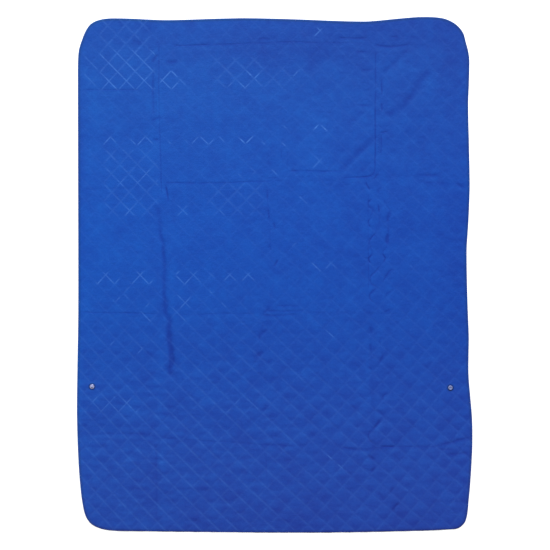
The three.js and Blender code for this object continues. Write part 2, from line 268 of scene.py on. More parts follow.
# Creases left by packing. deep is the trough's depth (a ridge is below 0) and wide its half width. dark is
# how dark a painted shade line runs along it, and fine that line's half width.
creases = [  # deep, wide, dark, fine, points
    # down the left
    (0.9, 8, 0.75, 4, [[-402, 680], [-403, 600], [-401, 520]]),
    (0.4, 6, 0.5, 2.2, [[-393, 592], [-392, 520]]),
    (0.6, 6, 0.62, 2.2, [[-383, 774], [-384, 660], [-383, 550], [-381, 474], [-378, 394], [-376, 300],
        [-376, 257]]),
    (1.4, 7, 1.7, 3, [[-361, 302], [-358, 280], [-353, 256], [-352, 236]]),
    (0.8, 11, 0.55, 8, [[-396, 236], [-382, 195], [-377, 142]]),
    (1.9, 11, 1.15, 7, [[-379, 172], [-377, 142], [-368, 80], [-364, 20], [-367, -40], [-363, -90],
        [-359, -128]]),
    (2.7, 11, 1.5, 9, [[-364, -80], [-360, -122], [-350, -150], [-350, -180], [-347, -220], [-343, -280],
        [-346, -310], [-339, -350]]),
    (0.4, 6, 0.38, 2.4, [[-366, 82], [-362, -18], [-361, -81], [-355, -122]]),
    (-1.2, 10, 0, 3, [[-356, 82], [-348, -58], [-340, -122], [-326, -198], [-320, -288]]),
    (1.1, 8, 0.35, 4, [[-393, -558], [-392, -678], [-391, -818]]),
    (-1.0, 8, 0, 3, [[-377, -508], [-376, -638], [-376, -833]]),
    (0.5, 8, 0.45, 3, [[-640, 615], [-542, 614], [-446, 616]]),
    (1.0, 12, 0.45, 10, [[-472, 774], [-436, 765]]),
    (0.9, 9, 0.4, 5, [[-366, 708], [-342, 706], [-318, 709]]),
    (1.2, 8, 0.55, 5, [[-412, 700], [-400, 714], [-388, 734]]),
    # down the middle
    (0.8, 7, 0.25, 2.4, [[-27, 302], [-21, 222], [-17, 152], [-15, 72]]),
    (1.1, 8, 0.8, 3.4, [[-24, 288], [-23, 240]]),
    (1.4, 8, 0.85, 3.6, [[-23, 228], [-20, 202], [-16, 174]]),
    (1.2, 7, 0.85, 4, [[-3, 175], [2, 147]]),
    (1.0, 7, 0.65, 3.4, [[-17, 102], [-11, 78]]),
    (1.0, 7, 1.15, 3.4, [[-5, 25], [10, 53]]),
    (0.6, 6, 0.5, 2.4, [[22, 418], [22, 380]]),
    (0.7, 6, 0.35, 2.4, [[42, 420], [41, 362], [41, 314]]),
    (1.0, 7, 0.45, 3.4, [[-45, -134], [-31, -119], [-14, -107]]),
    (0.8, 8, 0.95, 5, [[-24, -174], [-38, -188], [-50, -199], [-47, -222]]),
    (0.5, 8, 0.4, 5, [[-28, -293], [-6, -277]]),
    (0.7, 7, 0.4, 3.4, [[-4, -101], [28, -100], [92, -104]]),
    (0.7, 7, 0.45, 3.4, [[-36, -117], [28, -119], [108, -115]]),
    (0.8, 7, 0.5, 3.4, [[-50, -130], [-2, -132], [78, -129]]),
    (1.1, 9, 0.3, 5, [[-36, -158], [-46, -188], [-52, -216]]),
    (1.2, 9, 0.65, 6, [[-38, -250], [-52, -264], [-64, -271]]),
    (1.3, 9, 0.55, 5, [[-4, -333], [-12, -349], [-18, -363]]),
    (1.0, 9, 0.45, 5, [[-24, -430], [-36, -444], [-46, -452]]),
    (0.7, 8, 0.35, 3.4, [[-30, -566], [-28, -638], [-27, -693]]),
    (0.3, 10, 0.1, 8, [[-20, -628], [0, -656]]),
    (0.9, 10, 0.25, 8, [[-18, -687], [-2, -713]]),
    # down the right
    (0.7, 6, 0.65, 2.4, [[334, 744], [334, 640], [333, 540]]),
    (0.7, 6, 1.2, 2.6, [[333, 566], [333, 450], [332, 350]]),
    (1.2, 8, 1.2, 3, [[355, 654], [354, 588]]),
    (1.1, 8, 0.9, 3, [[353, 572], [355, 534]]),
    (1.0, 8, 0.55, 3, [[346, 498], [360, 480]]),
    (0.6, 7, 0.9, 2.8, [[353, 474], [352, 385]]),
    (0.9, 7, 0.9, 3, [[322, 314], [333, 325], [343, 339]]),
    (0.5, 7, 0.25, 3, [[224, 316], [288, 315]]),
    (0.7, 7, 1.0, 2.8, [[300, 309], [318, 278]]),
    (0.9, 7, 0.35, 2.8, [[343, 290], [344, 258]]),
    (0.3, 6, 0.5, 2.0, [[310, 275], [309, 170], [310, 80], [311, -60]]),
    (0.3, 6, 0.5, 2.4, [[322, 253], [312, 238], [325, 216], [312, 174], [325, 148], [312, 108], [323, 76],
        [312, 52], [324, 30]]),
    (0.4, 7, 0.5, 2.6, [[352, 262], [374, 226], [384, 208], [375, 176], [377, 140], [371, 98], [357, 74],
        [366, 56], [355, 34]]),
    (0.7, 7, 1.2, 2.6, [[322, 253], [312, 245], [312, 229], [326, 218]]),
    (0.7, 7, 1.3, 2.6, [[320, 194], [311, 179], [314, 165], [323, 154]]),
    (0.6, 7, 1.1, 2.6, [[336, 142], [320, 123], [312, 109], [318, 94]]),
    (0.7, 7, 1.5, 2.8, [[324, 72], [311, 53], [322, 34]]),
    (0.9, 7, 0.35, 2.8, [[360, 252], [375, 223]]),
    (1.4, 8, 0.9, 4.5, [[384, 216], [375, 192], [375, 166]]),
    (2.0, 9, 1.6, 5.5, [[376, 140], [372, 119], [373, 96]]),
    (0.8, 7, 1.1, 2.8, [[355, 73], [366, 56], [357, 38]]),
    (0.8, 7, 0.5, 2.8, [[349, 204], [346, 148]]),
    (0.8, 7, 1.0, 2.8, [[343, 236], [346, 200]]),
    (0.9, 8, 1.0, 2.8, [[354, -30], [364, -12], [374, 4], [381, 15], [392, 20], [406, 15]]),
    (0.9, 8, 0.75, 2.8, [[349, 34], [334, 13], [321, 0], [316, -14], [320, -28], [332, -34], [343, -42]]),
    (0.9, 7, 0.85, 2.8, [[341, -39], [323, -53], [314, -67], [319, -82], [336, -93]]),
    (0.5, 7, 0.5, 3, [[362, -84], [372, -62], [394, -46]]),
    (0.5, 8, 0.5, 4, [[358, -127], [386, -111]]),
    (0.5, 10, 0.3, 8, [[321, -210], [322, -330], [326, -450], [328, -560], [325, -690]]),
    (1.2, 9, 0.7, 7, [[317, -168], [319, -200]]),
    (1.2, 9, 0.8, 5, [[315, -223], [322, -259]]),
    (0.7, 8, 0.6, 2.8, [[359, -202], [346, -218], [354, -235]]),
    (1.4, 9, 0.65, 4.2, [[363, -259], [352, -279], [340, -299]]),
    (0.9, 8, 0.75, 3.4, [[309, -303], [328, -314]]),
    (1.5, 9, 0.8, 4.2, [[370, -384], [358, -404], [353, -422]]),
    (1.3, 10, 0.65, 6, [[336, -446], [368, -464]]),
    (0.6, 8, 0.55, 3, [[374, -444], [354, -472], [336, -496], [319, -515], [310, -530]]),
    (1.6, 9, 1.0, 4.5, [[350, -477], [335, -497], [319, -515]]),
    (1.1, 8, 0.9, 2.8, [[318, -511], [310, -528], [313, -544], [324, -555], [336, -566]]),
    (1.3, 10, 0.7, 6, [[306, -594], [336, -616]]),
    (1.2, 9, 0.9, 5, [[333, -634], [314, -655]]),
    (1.1, 9, 0.55, 4.2, [[392, -702], [377, -731]]),
    (1.3, 10, 0.4, 6.5, [[340, -716], [371, -749]]),
    (1.6, 9, 1.2, 4.5, [[416, -753], [398, -767], [391, -792]]),
    # across the top
    (0.7, 7, 0.6, 2.8, [[-340, 761], [-270, 763], [-200, 765]]),
    (0.5, 7, 0.42, 2.8, [[-215, 764], [-112, 767], [-50, 769], [10, 771]]),
    (0.5, 7, 0.42, 2.8, [[-5, 771], [47, 774], [100, 772], [158, 771]]),
    (0.3, 7, 0.25, 2.8, [[146, 771], [233, 771], [305, 769]]),
    (0.6, 7, 0.55, 4, [[-64, 780], [-36, 786], [-4, 781]]),
    (0.6, 8, 0.55, 3.4, [[200, 788], [250, 786], [313, 786]]),
    (1.0, 8, 0.85, 3.4, [[330, 766], [349, 760], [386, 757], [424, 762], [452, 768]]),
    (1.0, 8, 0.65, 3.4, [[378, 790], [415, 791]]),
    (0.5, 8, 0.45, 3.4, [[418, 791], [482, 789]]),
    (0.9, 8, 0.55, 3.4, [[267, 741], [312, 740]]),
    (0.7, 8, 0.5, 4, [[277, 682], [332, 680]]),
    (0.7, 8, 0.45, 4, [[272, 564], [326, 561]]),
    # second row
    (0.2, 9, 0.15, 4, [[-636, 286], [-522, 288], [-397, 295]]),
    (0.7, 7, 0.65, 2.8, [[-372, 307], [-314, 307], [-250, 306]]),
    (0.45, 7, 0.4, 2.8, [[-266, 306], [-155, 307], [-75, 311], [36, 315]]),
    (0.5, 6, 0.35, 2.8, [[-40, 323], [20, 323]]),
    (0.55, 7, 0.55, 2.8, [[40, 347], [104, 346], [157, 345], [230, 346]]),
    (0.3, 9, 0.18, 5, [[353, 330], [468, 330]]),
    (0.9, 9, 0.45, 4, [[464, 332], [554, 333]]),
    (0.4, 9, 0.22, 4, [[440, 322], [482, 311], [560, 304], [625, 298]]),
    (1.0, 9, 0.3, 5.5, [[594, 310], [636, 286]]),
    # third row
    (0.3, 7, 0.42, 2.6, [[-647, -121], [-560, -124], [-473, -125], [-382, -127]]),
    (0.25, 7, 0.3, 2.6, [[-340, -131], [-240, -129], [-180, -126], [-62, -127]]),
    (0.15, 8, 0.16, 3, [[90, -121], [203, -124], [309, -125], [430, -128]]),
    # fourth row
    (0.4, 8, 0.26, 4, [[-642, -527], [-579, -525], [-526, -524], [-472, -524], [-420, -526], [-388, -535]]),
    (-0.6, 6, 0, 3, [[-620, -533], [-530, -534], [-450, -537], [-386, -543]]),
    (0.35, 7, 0.3, 3, [[-384, -533], [-341, -541], [-234, -547], [-155, -552], [-49, -560], [57, -563],
        [112, -562]]),
    (0.4, 7, 0.4, 2.8, [[212, -566], [280, -577], [333, -572], [409, -567], [518, -568], [583, -555],
        [654, -539]]),
    (0.7, 8, 0.5, 3.2, [[216, -567], [248, -573], [280, -575]]),
    (0.5, 8, 0.25, 3.2, [[279, -577], [308, -580], [333, -571]]),
    (0.9, 8, 1.2, 3.2, [[344, -566], [409, -566]]),
    (0.7, 8, 0.6, 3.6, [[458, -566], [518, -567]]),
    (1.1, 9, 0.6, 4.2, [[532, -565], [583, -553], [618, -543], [658, -537]]),
    (1.0, 8, 0.6, 3.6, [[534, -575], [592, -575]]),
    (1.2, 9, 0.65, 4.2, [[562, -593], [608, -590], [650, -586]]),
    # soft slanting waves at the upper right
    (1.1, 16, 0.5, 12, [[358, 528], [419, 557], [448, 591], [482, 645], [510, 691]]),
    (1.0, 13, 0.42, 9, [[347, 667], [384, 694], [418, 728], [451, 756]]),
    (1.1, 14, 0.45, 10, [[213, 344], [267, 394], [301, 427], [336, 462]]),
    (0.6, 10, 0.2, 7, [[272, 331], [329, 383]]),
    (0.7, 10, 0.2, 8, [[240, 497], [303, 550]]),
    (-1.0, 22, 0, 3, [[354, 616], [398, 657], [445, 699]]),
    (-0.9, 24, 0, 3, [[372, 440], [428, 507], [485, 564]]),
    (-0.7, 12, 0, 3, [[241, 356], [310, 422]]),
    (1.2, 18, 0, 3, [[72, 667], [131, 703], [192, 731]]),
    # short ones that cross the upright folds, and the turn of the right one
    (0.9, 8, 0.6, 3.6, [[-412, 510], [-396, 517], [-374, 524]]),
    (0.7, 7, 0.7, 3, [[-408, 452], [-394, 449], [-381, 451]]),
    (0.9, 7, 0.7, 3, [[342, 471], [360, 474], [378, 478]]),
    (0.6, 6, 0.8, 2.6, [[332, 384], [330, 345], [320, 331], [283, 326], [217, 324]]),
]
leanWay = np.array([-0.03, 1.0])  # towards the light
creaseShape = {
    "step": 6.0,
    "fade": 24.0, "fadeShare": 0.32,  # where a crease dies out at its ends: length, and most share of its own
    "shoulder": 0.4, "shoulderWide": 2.2,  # cloth pushed up on both sides, as shares of deep and wide
    "level": 0.8, "uneven": 0.3, "unevenLength": 26.0, "unevenSeed": 5,
    "sway": 0.3, "swayLength": 24.0, "swaySeed": 8,  # swing from side to side, as a share of fine
    "noiseStep": 50.0,  # sets each crease's noise apart from the next one's
    "shift": 0.6,  # of the trough's middle off its line, in half widths
    "lineShift": 2.6,  # of the line away from the light, so that its shaded side lies on the points given
    "lineReach": 5.0, "clear": 3.0,  # both in half widths of the line
    "sets": 3,
}


def nearestOn(line, x, y):
    # for each point: its distance to a chain of straight runs, signed by its side, its place along the chain
    # and how squarely the nearest run's left side faces the light; then the chain's length
    run = np.diff(line, axis=0)
    length = np.linalg.norm(run, axis=1)
    run /= length[:, None]
    fromX, fromY = x[:, None] - line[:-1, 0], y[:, None] - line[:-1, 1]
    along = np.clip(fromX * run[:, 0] + fromY * run[:, 1], 0, length)
    away = np.hypot(fromX - along * run[:, 0], fromY - along * run[:, 1])
    best = away.argmin(axis=1)[:, None]
    side = np.sign(run[:, 0] * fromY - run[:, 1] * fromX)
    before = np.concatenate([[0.0], np.cumsum(length)])
    distance = np.take_along_axis(away * side, best, axis=1)[:, 0]
    place = before[best[:, 0]] + np.take_along_axis(along, best, axis=1)[:, 0]
    facing = run[:, 0] * leanWay[1] - run[:, 1] * leanWay[0]
    return distance, place, facing[best[:, 0]], before[-1]


def creaseSets():
    # lines that run close together go into different sets, so that each set has one clear nearest line
    sets = [[] for _ in range(creaseShape["sets"])]
    for number, (_, _, dark, fine, points) in enumerate(creases):
        line = smoothCurve(points, creaseShape["step"])
        crowd = []
        for members in sets:
            gaps = [
                np.abs(nearestOn(other, line[:, 0], line[:, 1])[0]).min() / (fine + otherFine)
                for _, other, otherFine in members
            ]
            crowd.append(min(gaps, default=np.inf))
        free = [k for k, gap in enumerate(crowd) if gap > creaseShape["clear"]]
        chosen = free[0] if free else int(np.argmax(crowd))
        if dark > 0:
            sets[chosen].append((number, line, fine))
    return {number: k for k, members in enumerate(sets) for number, _, _ in members}


def creaseField(x, y):
    # lift = deep * (shoulder * exp(-(m / shoulderWide)^2) - exp(-m^2)), m half widths from the trough's
    # middle, which lies off the line so that the line is on the trough's shaded side
    shape = creaseShape
    lift = np.zeros_like(x)
    offset = np.full((shape["sets"], len(x)), shape["lineReach"])
    weight = np.zeros((shape["sets"], len(x)))
    setOf = creaseSets()
    for number, (deep, wide, dark, fine, points) in enumerate(creases):
        line = smoothCurve(points, shape["step"])
        reach = 2 * max(shape["shoulderWide"] * wide, shape["lineReach"] * fine)
        low, high = line.min(axis=0) - reach, line.max(axis=0) + reach
        near = np.flatnonzero((x > low[0]) & (x < high[0]) & (y > low[1]) & (y < high[1]))
        away, place, facing, length = nearestOn(line, x[near], y[near])
        fadeLength = min(shape["fade"], shape["fadeShare"] * length)
        fade = smoothStep(place / fadeLength) * smoothStep((length - place) / fadeLength)
        step = shape["noiseStep"]
        row = np.full_like(place, step * number)
        uneven = softNoise(place, row, shape["unevenLength"], step, shape["unevenSeed"])
        strength = fade * (shape["level"] + shape["uneven"] * uneven)
        away += shape["sway"] * fine * softNoise(place, row, shape["swayLength"], step, shape["swaySeed"])
        away += shape["lineShift"] * facing
        fromMiddle = away / wide + shape["shift"] * facing
        shoulder = shape["shoulder"] * np.exp(-(fromMiddle / shape["shoulderWide"]) ** 2)
        lift[near] += deep * strength * (shoulder - np.exp(-fromMiddle**2))
        if number not in setOf:
            continue
        mine = setOf[number]
        # the painted crease shade: how strong its dark line is here, kept in its set where it is strongest
        shadeLineStrength = dark * strength * np.exp(-(away / shape["lineReach"] / fine) ** 2)
        better = shadeLineStrength > weight[mine, near]
        offset[mine, near[better]] = away[better] / fine
        weight[mine, near[better]] = shadeLineStrength[better]
    return lift, offset, weight


# Broad places where the cloth looks lighter or darker: middle, half size, amount. They paint light and shade:
# the broad ones for gentle slopes of the cloth, those beside the long upright folds for the folds' lit and
# shaded sides; those along the edge make it darker, and lighter at the lower left.
paintedTones = [
    [0, 738, 240, 36, -0.05], [600, 690, 60, 150, -0.05], [612, 60, 50, 230, -0.05],
    [140, 520, 100, 140, 0.03], [135, 215, 60, 100, 0.03], [-485, 530, 90, 60, -0.03],
    [-640, -690, 45, 150, 0.04], [-60, -800, 520, 50, -0.04], [-235, -110, 70, 75, 0.03],
    [-300, 560, 160, 60, 0.03], [60, 760, 420, 90, -0.02], [-560, 60, 110, 200, 0.02],
    [0, 840, 900, 110, -0.075], [-300, -230, 420, 130, -0.03], [-560, 800, 170, 90, -0.02],
    [60, 380, 160, 110, 0.025], [118, 690, 50, 30, -0.05], [440, 790, 220, 110, -0.03],
    [270, 590, 150, 80, -0.025], [-520, 780, 120, 60, -0.02], [-60, 775, 60, 30, -0.03],
    [460, -620, 280, 190, 0.035],
    # along the edge
    [-646, 340, 17, 340, -0.085], [0, -836, 600, 14, -0.025], [-652, -340, 12, 320, 0.07],
    # beside the long upright folds: their painted lit and shaded sides
    [-389, 560, 7, 50, 0.05], [-345, 150, 26, 100, 0.03], [-344, -30, 14, 90, 0.045],
    [-395, -30, 24, 90, -0.03], [-376, -230, 16, 110, 0.03], [-378, -450, 18, 90, 0.03],
    [-340, -450, 18, 90, -0.015], [-370, -615, 12, 70, 0.04], [-398, -615, 14, 60, -0.025],
    [-370, -750, 14, 80, 0.04], [-402, -750, 16, 80, -0.035], [-60, -100, 8, 80, 0.035],
    [-37, -450, 10, 90, 0.02], [-18, -615, 6, 60, 0.03], [374, 645, 16, 110, 0.035],
    [360, 305, 16, 45, 0.05], [323, 190, 8, 70, 0.03], [360, 190, 10, 70, 0.04], [296, 30, 15, 80, -0.05],
    [304, -315, 10, 100, 0.025], [306, -600, 12, 90, 0.025], [348, -480, 20, 60, -0.03],
]


def paintedToneField(x, y):
    # the sum of the places' amounts, each times exp(-(dx / half)^2 - (dy / half)^2)
    table = np.array(paintedTones, dtype=float)[:, :, None]
    bells = np.exp(-((x - table[:, 0]) / table[:, 2]) ** 2 - ((y - table[:, 1]) / table[:, 3]) ** 2)
    return (table[:, 4] * bells).sum(axis=0)


# Places where the welds catch the light, and how much each family of lines shines there. The shine is a
# painted highlight: a pale blue mixed into the cloth's colour.
glints = [  # left, right, low, high, falling, rising
    [-580, -414, 746, 845, 0.21, 0.21], [-578, -398, 654, 746, 0.68, 0.3], [-578, -398, 614, 654, 0.8, 0.6],
    [-628, -588, 627, 733, 0.42, 0.1], [-378, -322, 616, 674, 0.8, 0.8], [-322, -296, 616, 650, 0.4, 0.1],
    [-362, -340, 758, 780, 0.1, 0.5], [-569, -528, 432, 457, 0.8, 0.8], [-472, -406, 432, 458, 0.8, 0.8],
    [-350, -330, 436, 458, 0.6, 0.2], [-490, -474, 428, 446, 0.6, 0.1], [-306, -292, 434, 446, 0.5, 0.1],
    [-272, -204, 432, 456, 0.7, 0.7], [-182, -168, 440, 458, 0.6, 0.2], [-116, -68, 436, 460, 0.95, 0.9],
    [-40, -31, 432, 448, 0.8, 0.2], [25, 41, 426, 440, 0.7, 0.1], [129, 172, 476, 495, 0.9, 0.9],
    [29, 45, 486, 495, 0.6, 0.4], [-198, -42, 620, 720, 0.26, 0.22], [-96, -74, 658, 682, 0.95, 0.3],
    [-68, -50, 638, 668, 0.75, 0.75], [-120, -84, 618, 644, 0.7, 0.7], [-154, -138, 620, 635, 0.2, 0.8],
    [62, 81, 654, 672, 0.3, 0.8], [-42, 98, 620, 692, 0.15, 0.15], [131, 153, 790, 817, 0.7, 0.9],
    [-564, -386, 196, 414, 0.3, 0.18], [-442, -414, 320, 348, 0.7, 0.6], [-524, -500, 294, 318, 0.6, 0.5],
    [-462, -436, 300, 326, 0.65, 0.6], [-500, -468, 197, 221, 0.5, 0.55], [-322, -290, 197, 230, 0.5, 0.5],
    [-591, -516, -30, 8, 0.66, 0.66], [-478, -406, -30, 9, 0.7, 0.7], [-325, -247, -32, 10, 0.62, 0.62],
    [-330, -280, -110, -68, 0.6, 0.6], [-434, -416, -106, -86, 0.1, 0.5],
    [-498, -470, -80, -40, 0.35, 0.35], [-214, -200, -62, -46, 0.5, 0.1], [-176, -160, -108, -88, 0.5, 0.1],
    [-448, -386, -156, -122, 0.55, 0.1], [-345, -293, -154, -108, 0.6, 0.15],
    [-534, -512, -91, -74, 0.5, 0.5], [-468, -436, -260, -238, 0.65, 0.65],
    [-544, -532, -236, -214, 0.1, 0.5], [-604, -518, -455, -404, 0.6, 0.5],
    [-518, -455, -455, -410, 0.5, 0.45], [-170, -145, -455, -438, 0.45, 0.45],
    [-90, -55, -462, -412, 0.45, 0.1], [-501, -479, -430, -409, 0.6, 0.5],
    [-223, -36, 198, 306, 0.17, 0.17], [-184, -167, 198, 220, 0.6, 0.2], [-154, -130, 202, 224, 0.2, 0.45],
    [-10, 8, 331, 349, 0.65, 0.1], [-87, -63, 334, 356, 0.4, 0.4], [-121, -109, 326, 336, 0.6, 0.3],
    [126, 157, 354, 392, 0.35, 0.35], [-170, -64, -18, 4, 0.66, 0.66], [-223, -201, -18, 4, 0.4, 0.1],
    [122, 154, 12, 39, 0.65, 0.1], [170, 207, 17, 44, 0.35, 0.35], [83, 109, 236, 263, 0.4, 0.1],
    [59, 71, 90, 107, 0.1, 0.45], [451, 463, 27, 37, 0.5, 0.2], [170, 201, -207, -178, 0.55, 0.1],
    [175, 192, -612, -596, 0.7, 0.2], [207, 224, -647, -627, 0.8, 0.4], [-136, -114, -429, -410, 0.1, 0.55],
]
glintEdge = 7.0
# painted highlight of the welds outside those places
plainGlint = {  # in the upper part, then in the lower part at the left and at the right
    "falling": (0.065, 0.23, 0.11),
    "rising": (0.045, 0.1, 0.105),
}


def glintField(x, y):
    # each family's painted highlight: its plain shine, or that of a place above where it is stronger, blended
    # over glintEdge
    down, across = downAndRight(x, y)
    shine = [between((upper, between(lower, across)), down) for upper, *lower in plainGlint.values()]
    for left, right, low, high, *amounts in glints:
        inX = smoothStep(np.minimum(x - left, right - x) / glintEdge + 0.5)
        inY = smoothStep(np.minimum(y - low, high - y) / glintEdge + 0.5)
        shine = [np.maximum(plain, amount * inX * inY) for plain, amount in zip(shine, amounts)]
    return shine


# The sheet itself
sheet = {
    "flatSize": (1.30, 1.70),
    "ringStep": 7.0, "groundBelow": 0.01, "sameDigits": 2,
    "stepsPerDiamond": 8, "underSteps": 2,
    "gridInset": 13.0, "dishGap": 2.5, "recessGap": 6.0,  # gaps that the strips of triangles fill
    "rimHeight": 1.5, "rollHeight": 6.2, "rollWidth": 28.0, "rollBlend": 0.35,
    "least": 1.1,
    # the turned edge, from the face round to the ground: inset, and share of the height at the first inset
    "rim": [[10.0, 1.0], [6.2, 0.97], [3.4, 0.89], [1.5, 0.74], [0.4, 0.52], [0.0, 0.3], [0.5, 0.1],
            [2.0, 0.0]],
    "pucker": 0.3, "puckerReach": 20.0,
    # turns round the outline, share and start of each ripple, and of the swell that they follow
    "puckerWaves": [(190, 1.0, 0.0), (127, 0.8, 1.7), (83, 0.6, 0.6)], "puckerSwell": (9, 0.4, 0.4),
    # the pressed seat round a fastener: radii, heights, and the rings on the slope up to the dish
    "hole": 2.5, "underPlate": 5.5, "recess": 6.8, "seat": 8.6, "dish": 17.5,
    "recessHeight": 1.0, "seatHeight": 2.3, "seatSlope": (2.0, 4.2, 6.6),
    # the painted shadow round a fastener fades out over its reach
    "snapSteps": 40, "snapShadowReach": 5.5,
    "mostLean": 0.3,
    # painted shade along the edge: a dark band just inside it, darker where the edge faces the light
    "edgeInset": 4.4, "edgeShade": 3.2, "edgeLevel": 0.72, "edgeFacing": 0.2,  # a dark band along the edge
}


def groundRing():
    # the panel's own edge on the ground, in order round the middle
    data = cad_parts["quilted_panel"].data
    points = np.empty(len(data.vertices) * 3)
    data.vertices.foreach_get("co", points)
    points = points.reshape(-1, 3) / mm
    ring = points[points[:, 2] < sheet["groundBelow"]][:, :2]
    ring = ring[fromSnaps(*ring.T) > sheet["dish"]]
    ring = np.unique(ring.round(sheet["sameDigits"]), axis=0)
    return ring[np.argsort(np.arctan2(ring[:, 1], ring[:, 0]))]


outline = smoothCurve(groundRing(), sheet["ringStep"], closed=True)
outlineRun = np.roll(outline, -1, axis=0) - np.roll(outline, 1, axis=0)
outlineRun /= np.linalg.norm(outlineRun, axis=1)[:, None]
outlineOut = np.column_stack([outlineRun[:, 1], -outlineRun[:, 0]])
outlineAngle = np.arctan2(outline[:, 1], outline[:, 0])
outlineRadius = np.hypot(*outline.T)
outlineLean = (outline * outlineOut).sum(axis=1) / outlineRadius
print("outline:", len(outline), "points")


def roundOutline(x, y, values):
    # a value of the outline, read off at the angle of each point
    return np.interp(np.arctan2(y, x), outlineAngle, values, period=2 * np.pi)


def edgeDistance(x, y):
    # gap to the outline along the ray from the middle, times how squarely that ray meets the outline
    gap = roundOutline(x, y, outlineRadius) - np.hypot(x, y)
    return gap * roundOutline(x, y, outlineLean)


def puckers(x, y):
    # ripples square to the edge: sines with a whole number of turns round the outline, times a slow swell
    turn = fullTurn(len(outline))
    ripples = sum(share * np.sin(turns * turn + start) for turns, share, start in sheet["puckerWaves"])
    turns, share, start = sheet["puckerSwell"]
    return roundOutline(x, y, ripples * (1 - share + share * np.sin(turns * turn + start)))


# waves in the cloth: size across and along, height at the left and right of the upper and of the lower part
waves = [
    [150.0, 110.0, (0.7, 0.7), (0.7, 0.6)], [52.0, 40.0, (0.35, 0.4), (0.5, 0.4)],
    [17.0, 14.0, (0.18, 0.27), (0.32, 0.26)], [44.0, 13.0, (0.04, 0.06), (0.36, 0.2)],
    [26.0, 11.0, (0.0, 0.06), (0.3, 0.16)],
]


def faceHeight(x, y):
    # pillows + waves in the cloth + creases, kept under the roll at the edge
    lift, offset, weight = creaseField(x, y)
    height = pillowHeight(x, y) + lift
    down, right = downAndRight(x, y)
    for seed, (across, along, upper, lower) in enumerate(waves):
        amount = between((between(upper, right), between(lower, right)), down)
        height += amount * softNoise(x, y, across, along, seed)
    inset = edgeDistance(x, y)
    height += sheet["pucker"] * puckers(x, y) * np.exp(-inset / sheet["puckerReach"])
    roll = sheet["rimHeight"] + (sheet["rollHeight"] - sheet["rimHeight"]) * inset / sheet["rollWidth"]
    blend = sheet["rollBlend"]
    height = -blend * np.logaddexp(-height / blend, -roll / blend)
    return np.maximum(height, sheet["least"]), offset, weight


def insetRing(inset):
    # the outline, moved inwards along its normals
    return outline - outlineOut * inset


def circle(place, radius):
    # place + radius * (cos a, sin a)
    turn = fullTurn(sheet["snapSteps"])
    return place + radius * np.column_stack([np.cos(turn), np.sin(turn)])


def latticeGrid(steps, snapGap):
    # numbered points on the welds and between them, and which of them lie on the cloth
    reach = int(np.ceil(outlineRadius.max() / min(family["pitch"] for family in families))) + 1
    numbers = np.arange(-reach * steps, reach * steps + 1) / steps
    x, y = weldPlace(np.meshgrid(numbers, numbers, indexing="ij"))
    on = (edgeDistance(x, y) > sheet["gridInset"]) & (fromSnaps(x, y) > snapGap)
    return x, y, on, reach


def addLean(mesh):
    # how far each point's face leans towards the light; the material paints light and shade into the green
    # from it
    normals = np.empty(len(mesh.vertices) * 3, dtype=np.float32)
    mesh.vertex_normals.foreach_get("vector", normals)
    leanToLight = normals.reshape(-1, 3)[:, :2] @ leanWay
    storeValue(mesh, "leanToLight", np.clip(leanToLight, -sheet["mostLean"], sheet["mostLean"]))


def gridQuads(on):
    # whole squares of the grid, the points that they use, and the squares by point numbers
    kept = on[:-1, :-1] & on[1:, :-1] & on[:-1, 1:] & on[1:, 1:]
    used = np.zeros_like(on)
    for rows in (slice(None, -1), slice(1, None)):
        for columns in (slice(None, -1), slice(1, None)):
            used[rows, columns] |= kept
    number = np.cumsum(used.ravel()).reshape(used.shape) - 1
    corners = [number[:-1, :-1], number[:-1, 1:], number[1:, 1:], number[1:, :-1]]
    return kept, used, np.column_stack([corner[kept] for corner in corners])


# radii of a seat's rings, from the ground up through the hole and out to the face
seatRadii = [sheet[name] for name in ("recess", "recess", "hole", "hole", "underPlate", "seat")]
seatRadii += [sheet["seat"] + step for step in sheet["seatSlope"]] + [sheet["dish"]]


def stripTriangles(flat, quads, kept, reach, rim, seats):
    # the strip between the grid, the rim and the seats: a filled plane, less what the squares and seats cover
    sides = np.concatenate([quads[:, [0, 1]], quads[:, [1, 2]], quads[:, [2, 3]], quads[:, [3, 0]]])
    sides, times = np.unique(np.sort(sides, axis=1), axis=0, return_counts=True)
    edges = np.vstack([sides[times == 1], chain(rim[0])] + [chain(rings[-1]) for rings in seats])
    members, local = np.unique(edges, return_inverse=True)
    strip = members[fillBetween(flat[members], local.reshape(edges.shape))]
    x, y = flat[strip].mean(axis=1).T
    cells = (np.floor((number + reach) * sheet["stepsPerDiamond"]) for number in weldNumbers(x, y))
    covered = kept[tuple(np.clip(cell, 0, kept.shape[0] - 1).astype(int) for cell in cells)]
    return strip[~covered & (fromSnaps(x, y) >= sheet["dish"])]


def pressRings(height, rim, seats):
    # the rim's shares of the face's height beside it, then each seat's pressed dish, hole and recess
    beside = height[rim[0]].copy()
    for ring, (_, share) in zip(rim, sheet["rim"]):
        height[ring] = beside * share
    seat, dish = sheet["seat"], sheet["dish"]
    for rings in seats:
        around = height[rings[-1]].copy()
        for ring, radius in zip(rings, seatRadii):
            share = smoothStep((radius - seat) / (dish - seat))
            height[ring] = sheet["seatHeight"] + (around - sheet["seatHeight"]) * share
        height[rings[0]] = 0.0
        height[rings[1:3]] = sheet["recessHeight"]


